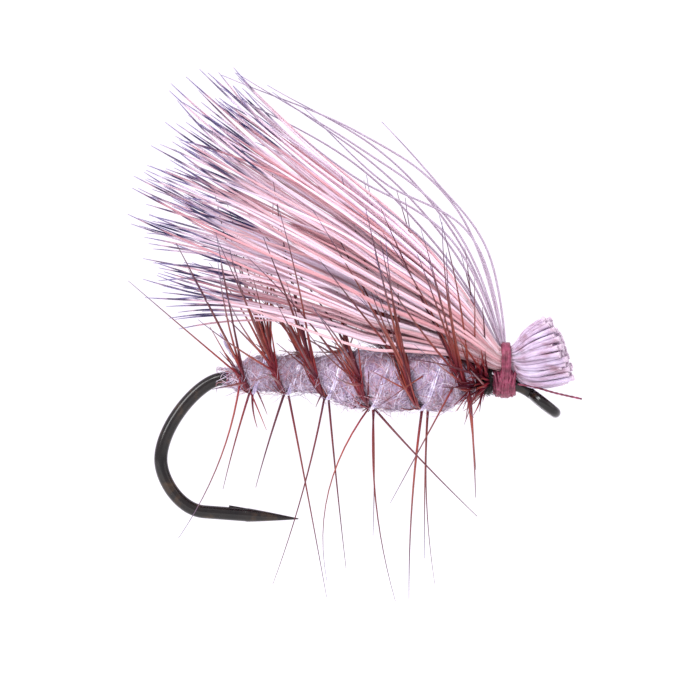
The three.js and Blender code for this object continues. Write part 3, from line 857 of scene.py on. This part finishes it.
def stray_hairs(top):
    """Single hairs over the wing, along the line of its top edge."""
    steps = 40
    share = np.linspace(0, 1, steps)
    lines = []
    for early, late, end, side, reach in STRAY_HAIRS:
        points = through(top, 2.6 + (len(top) - 3.6) * share * reach)
        lift = through([[0], [early], [late], [end]], 3 * share)
        points += lift * [0.5, 0, 1] + side * share[:, None] * [0, 1, 0]
        lines.append(points)
    radii = np.interp(share, [0, 0.1, 0.7, 1], [0.045, 0.042, 0.034, 0.012])
    traits = {"tint": np.full((len(lines), steps), 0.15), "butt": 0, "cut": 0,
              "dark": np.interp(share, [0, 0.3, 0.75, 0.9, 1], [0.4, 0.55, 0.6, 0.8, 0.4]),
              "tip": np.interp(share, [0, 0.94, 1], [0, 0, 1])}
    return strands(lines, radii, 8, traits)


def wing():
    """The hair bundle: a lock for each CAD hair, row by row from the lowest, each row in two halves."""
    rng = np.random.default_rng(17)
    material = hair_look()
    rows = [5, 6, 7, 8, 7, 6, 5]
    first = 1
    for number, count in enumerate(rows, 1):
        nodes = [f"wing_hair_{first + step:02d}" for step in range(count)]
        first += count
        parts = [lock(rng, node, BUTT_DROOPS[number - 1]) for node in nodes]
        half = count // 2
        for side, chosen in (("near", slice(0, half)), ("far", slice(half, count))):
            add_piece(f"wing_row_{number}_{side}", parts[chosen], material, nodes[chosen])
    top = np.mean([centre_line(f"wing_hair_{number:02d}") for number in (41, 42, 43)], axis=0)
    add_piece("wing_stray_hairs", [stray_hairs(top)], material)


# Thread, collar and head

def winding(rng, outline, rear, front, turns, jitter=0.0, tilt=0.0, thread=THREAD):
    """A thread wound round the shank on an outline, which gives y and z for an angle share."""
    steps = 56
    share = np.arange(int(turns * steps) + 1) / steps
    path = outline(share % 1)
    knots = np.arange(0, turns + 1, 0.5)
    waver = np.interp(share, knots, rng.normal(0, jitter, len(knots)))
    x = mix(rear, front, share / turns) + waver + tilt * (path[:, 1] - SHANK)
    line = np.column_stack([x, path])
    return strands([line], thread, 12, guide=FORWARD, plies=2, twist=TAU / 0.5)


def circle(radius, height=SHANK):
    """An outline for a winding: y and z on a circle at each angle share."""
    def outline(share):
        angle = TAU * share
        return np.column_stack([-radius * np.sin(angle), height + radius * np.cos(angle)])
    return outline


def head_outline(margin):
    """An oval that holds the shank's wraps below and the hair bundle above."""
    foot = 0.365 + margin
    half_width = 0.587 + margin
    half_height = 0.452 + margin
    below = np.linspace(-math.pi, 0, 40)
    above = np.linspace(0, math.pi, 60)
    corners = np.concatenate([
        np.column_stack([foot * np.cos(below), SHANK + foot * np.sin(below)]),
        np.column_stack([half_width * np.cos(above), BUNDLE + half_height * np.sin(above)]),
    ])
    corners = np.vstack([corners, corners[:1]])
    travel = np.append(0, np.linalg.norm(np.diff(corners, axis=0), axis=1).cumsum())
    travel /= travel[-1]
    return lambda share: np.column_stack([np.interp(share, travel, corners[:, axis]) for axis in (0, 1)])


def threads():
    """The one tying thread: underbody, head wraps, the wing's band and the cut end."""
    rng = np.random.default_rng(9)
    material = thread_look()
    laid = circle((WIRE / 2 + under_high[1]) / 2)
    fine = 0.034
    under = winding(rng, laid, under_low[0], under_high[0], (under_high[0] - under_low[0]) / 0.09, 0.004,
                    thread=fine)
    add_piece("underbody_winding", [under], material, ["thread_underbody"])
    wrap = WIRE / 2 + 0.02 + THREAD
    wraps = [
        winding(rng, circle(wrap), wraps_low[0] + 0.03, wraps_high[0] - 0.06, 9, 0.004),
        winding(rng, circle(wrap + 0.09), wraps_high[0] - 0.1, wraps_low[0] + 0.12, 7, 0.012, 0.05),
        winding(rng, circle(0.46, SHANK + 0.1), wraps_low[0] + 0.1, wraps_high[0] - 0.06, 7, 0.015, -0.12),
        winding(rng, circle(0.49, SHANK + 0.14), wraps_high[0] - 0.12, wraps_low[0] + 0.16, 5, 0.02, 0.15),
    ]
    add_piece("head_winding", wraps, material, ["head_thread_wraps"])
    band = [
        winding(rng, head_outline(0.03), band_low[0] + 0.06, band_high[0] - 0.06, 5, 0.004),
        winding(rng, head_outline(0.09), band_high[0] - 0.08, band_low[0] + 0.08, 4, 0.008, 0.02),
    ]
    add_piece("wing_band_winding", band, material, ["wing_thread_band"])
    route = through([(-1.02, -0.3, 0.72), (-0.45, -0.42, 0.64), (0.4, -0.4, 0.42), (1.38, -0.3, 0.22)],
                    np.linspace(0, 3, 70))
    tag = strands([route], 0.036, 12, plies=2, twist=TAU / 0.4)
    add_piece("cut_thread_end", [tag], material, ["thread_tag"])


def collar():
    """Dark herl: a wound quill with short flues standing out all round."""
    rng = np.random.default_rng(31)
    core, height = 0.43, SHANK + 0.13
    quill = winding(rng, circle(core, height), collar_low[0] + 0.05, collar_high[0] + 0.02, 6, 0.01,
                    thread=0.06)
    count = 440
    share = np.linspace(0, 1, 6)
    x = rng.uniform(collar_low[0], collar_high[0], count)[:, None]
    turn = rng.random(count)[:, None]
    sweep = rng.normal(0.1, 0.06, count)[:, None]
    angle = TAU * (turn + sweep * share)
    lift = rng.uniform(0.03, 0.2, count)[:, None]
    lift = lift + rng.uniform(0, 0.2, count)[:, None] * np.cos(TAU * turn).clip(0)
    reach = core + lift * share ** 1.4
    lines = np.stack([x + rng.normal(0, 0.2, count)[:, None] * share, -reach * np.sin(angle),
                      height + reach * np.cos(angle)], axis=-1)
    flues = strands(lines, 0.017 * mix(1, 0.3, share)[None], 5)
    add_piece("herl_winding", [quill, flues], herl_look(), ["herl_collar"])


# Stage, lights and camera

def add_light(name, place, aim, size, power):
    data = bpy.data.lights.new(name, "AREA")
    data.shape = "RECTANGLE"
    data.size, data.size_y = (side * MM for side in size)
    data.energy = power
    lamp = bpy.data.objects.new(name, data)
    lamp.location = [value * MM for value in place]
    way = Vector(aim) * MM - Vector(lamp.location)
    lamp.rotation_euler = way.to_track_quat("-Z", "Y").to_euler()
    lamp.visible_camera = False
    bpy.context.scene.collection.objects.link(lamp)


def studio(centre, lowest):
    scene = bpy.context.scene
    scene.view_settings.view_transform = "Standard"
    scene.world = bpy.data.worlds.new("studio")
    scene.world.use_nodes = True
    background = scene.world.node_tree.nodes["Background"]
    background.inputs["Color"].default_value = (1.0, 0.935, 1.04, 1)
    background.inputs["Strength"].default_value = 1.12
    half = 1.5
    clearance = 12
    height = (lowest - clearance) * MM
    mesh = bpy.data.meshes.new("floor")
    mesh.from_pydata([(x * half, y * half, height) for x, y in ((-1, -1), (1, -1), (1, 1), (-1, 1))], [],
                     [(0, 1, 2, 3)])
    look = Look("pale_floor", Roughness=0.9, Specular_IOR_Level=0.0)
    mesh.materials.append(look.finish(look.ramp(look.noise(40), (0.3, 0xFCFEFC), (0.7, 0xFEFFFE))))
    floor = bpy.data.objects.new("floor", mesh)
    scene.collection.objects.link(floor)
    add_light("key", (centre[0] - 60, -110, centre[2] + 155), centre, (45, 90), 0.22)
    add_light("side", (centre[0] - 125, -110, centre[2] + 85), centre, (60, 110), 0.24)
    add_light("fill", (centre[0] + 150, -60, centre[2] + 60), centre, (120, 120), 0.05)


def add_camera():
    lens, sensor, view_width = 150, 36, 26.25
    roll = math.radians(1.19)
    data = bpy.data.cameras.new("camera")
    data.lens, data.sensor_width = lens, sensor
    data.clip_start, data.clip_end = 0.01, 10
    right = Vector((math.cos(roll), 0, math.sin(roll)))
    up = Vector((-math.sin(roll), 0, math.cos(roll)))
    turned = Matrix((right, up, Vector((0, -1, 0)))).transposed().to_4x4()
    aim = (-AIM_BEHIND_EYE, -view_width * lens / sensor, AIM_ABOVE_EYE)
    camera = bpy.data.objects.new("camera", data)
    camera.matrix_world = Matrix.Translation(Vector(aim) * MM) @ turned
    bpy.context.scene.collection.objects.link(camera)
    bpy.context.scene.camera = camera


lowest_corner, highest_corner = np.array(cad_box) / MM
middle_point = (lowest_corner + highest_corner) / 2
add_camera()
studio(middle_point, lowest_corner[2])
hook()
dubbing_core()
dubbing_fibres()
rib()
hackle()
wing()
threads()
collar()
